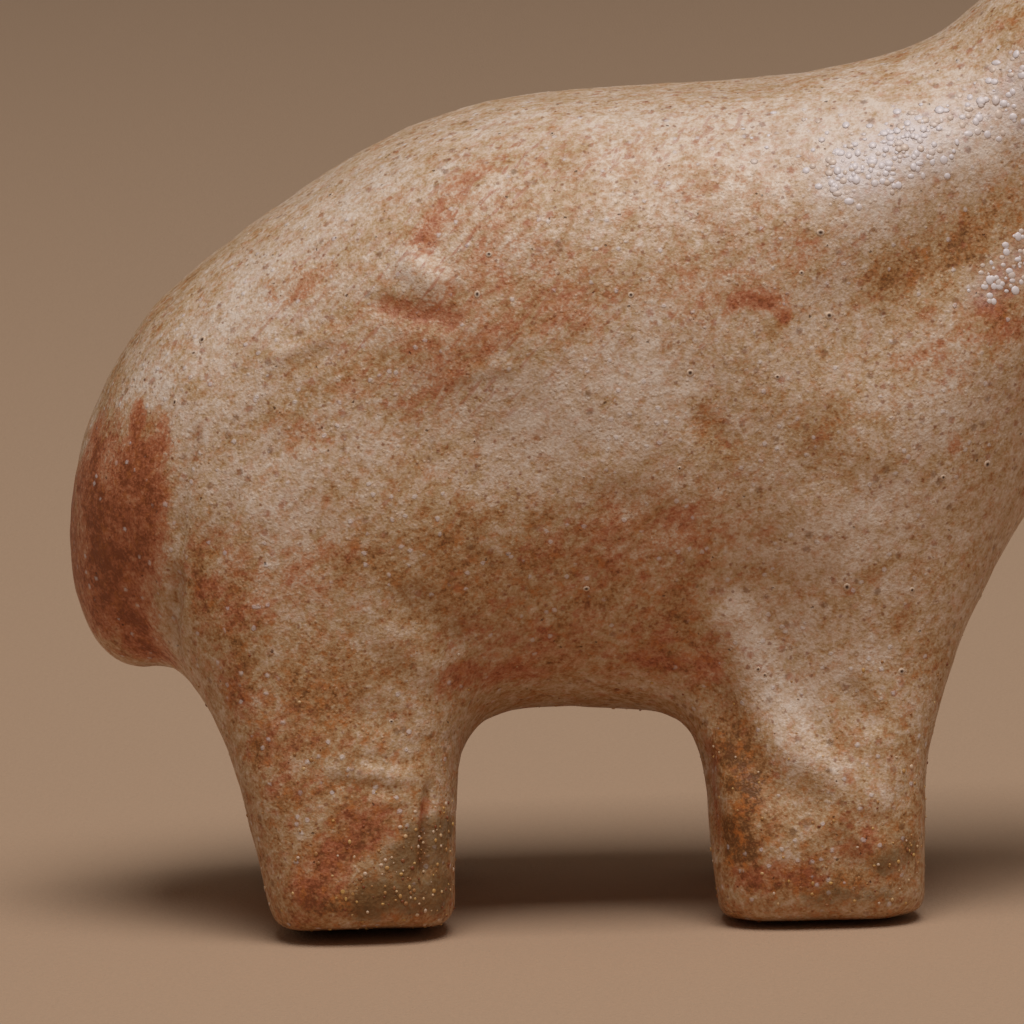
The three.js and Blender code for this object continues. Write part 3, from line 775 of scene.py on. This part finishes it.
seen_pinholes = [
    (-23.1, 53.1), (4.9, 57.2), (11.7, 27.8), (-31.1, 18.6), (-14.9, 38.2),
    (-0.7, 21.4), (-10.5, 53.1), (0.1, 60.5), (5.7, 56.4), (6.7, 28.1),
]
pinhole_places = [index_at(x, z) for x, z in seen_pinholes]
everywhere = np.full(len(skin_points), stray_pinholes)
pinhole_places = np.append(pinhole_places, scatter(everywhere, pinhole_spacing, 37))
pinholes = grains("pinholes", pinhole_places, rim_radius, rim_height, 0.0, 5, pitted_rim, pit_floor)
crater = Finish("pinhole_rims")
# the core of each pinhole is painted shade
crater.link(crater.mix(crater.layer("core"), cream, painted_pit_shade), crater.shader.inputs["Base Color"])
crater.link(crater.ramp(crater.noise(0.3), 0.3, 0.7, 0.4, 0.6), crater.shader.inputs["Roughness"])
pinholes.data.materials.append(crater.material)

# Coarse sand was kneaded into the clay so that it fired without cracking. Its grains of rusty,
# ochre, gold and cream stone stand out where the feet have worn, half sunk in the clay.
round_grain = [(0.64, -0.77), (1.0, 0.0), (0.82, 0.57), (0.42, 0.91)]
grain_radius = 0.12
grain_height = 0.6
grain_spacing = 0.58
bare_height = 16.0
gold = shade(214, 172, 104)
few_grains = 0.05 * np.clip(1.6 - skin_points[:, 2] / bare_height, 0, 1)
sand_places = scatter(np.clip(sandy * 0.55 + few_grains, 0, 1), grain_spacing, 23)
sand = grains("sand_grains", sand_places, grain_radius, grain_height, 0.5, 4, round_grain)
temper = Finish("sand_grains")
stone_colours = [(0.1, rust), (0.3, ochre), (0.65, gold), (0.95, cream)]
grain_colour = temper.scale(temper.layer("tint"), stone_colours)
temper.link(grain_colour, temper.shader.inputs["Base Color"])
temper.link(temper.ramp(temper.noise(0.3), 0.3, 0.7, 0.3, 0.5), temper.shader.inputs["Roughness"])
sand.data.materials.append(temper.material)

# The figurine stands on a plain sheet of pale paper, far wider than the picture. The sheet is
# part of the studio and not of the figurine.
paper_reach = 6.0
floor_mesh = bpy.data.meshes.new("paper_floor")
paper_corners = np.array([(-1, -1, 0), (1, -1, 0), (1, 1, 0), (-1, 1, 0)]) * paper_reach
floor_mesh.from_pydata(paper_corners.tolist(), [], [(0, 1, 2, 3)])
floor = bpy.data.objects.new("paper_floor", floor_mesh)
bpy.context.collection.objects.link(floor)
paper = Finish("pale_paper")
fibre = paper.noise(0.45, detail=3.0, rough=0.7)
paper_colour = paper.mix(fibre, shade(185, 154, 128), shade(195, 165, 138))
paper.link(paper_colour, paper.shader.inputs["Base Color"])
paper.shader.inputs["Roughness"].default_value = 0.9
paper.link(paper.bump(fibre, 0.2), paper.shader.inputs["Normal"])
floor_mesh.materials.append(paper.material)

# One wide cloth lit from behind hangs over the figurine, a little towards the camera, and the
# warm walls of the room give back a little light.
cloth_size = 1.25
cloth_power = 35.0
cloth_place = Vector((0.08, -0.75, 2.1))
lit_place = Vector((0.0, 0.0, 0.03))
cloth_light = bpy.data.lights.new("overhead_cloth", "AREA")
cloth_light.shape = "SQUARE"
cloth_light.size = cloth_size
cloth_light.energy = cloth_power
cloth_light.color = (1.0, 0.96, 0.92)
lamp = bpy.data.objects.new("overhead_cloth", cloth_light)
bpy.context.collection.objects.link(lamp)
lamp.location = cloth_place
lamp.rotation_euler = (lit_place - cloth_place).to_track_quat("-Z", "Y").to_euler()
world = bpy.data.worlds.new("studio")
bpy.context.scene.world = world
world.use_nodes = True
walls = world.node_tree.nodes["Background"]
walls.inputs["Color"].default_value = (1.0, 0.84, 0.68, 1)
walls.inputs["Strength"].default_value = 0.12
bpy.context.scene.view_settings.view_transform = "Standard"

# The camera looks along +Y at the tapir's right side, from 7 degrees above the level and 0.9 m
# away, with a long macro lens. It leans by a degree or so, and the head lies outside the right
# edge of the picture.
picture_width = 85.3 * MM  # of the figure, from the left edge of the picture to the right one
camera_distance = 0.9
camera_elevation = math.radians(7.0)
camera_roll = math.radians(-1.37)
aim_from_tail = 36.9
aim_height = 33.0
aim = Vector((lowest[0] + aim_from_tail, 0.0, aim_height)) * MM
camera_data = bpy.data.cameras.new("macro camera")
camera_data.sensor_width = 36.0
camera_data.lens = camera_data.sensor_width * camera_distance / picture_width
camera_data.clip_start = 0.01
camera = bpy.data.objects.new("macro camera", camera_data)
bpy.context.collection.objects.link(camera)
away = Vector((0.0, -math.cos(camera_elevation), math.sin(camera_elevation)))
facing = Matrix.Rotation(math.pi / 2 - camera_elevation, 4, "X")
lean = Matrix.Rotation(camera_roll, 4, "Z")
camera.matrix_world = Matrix.Translation(aim + away * camera_distance) @ facing @ lean
bpy.context.scene.camera = camera
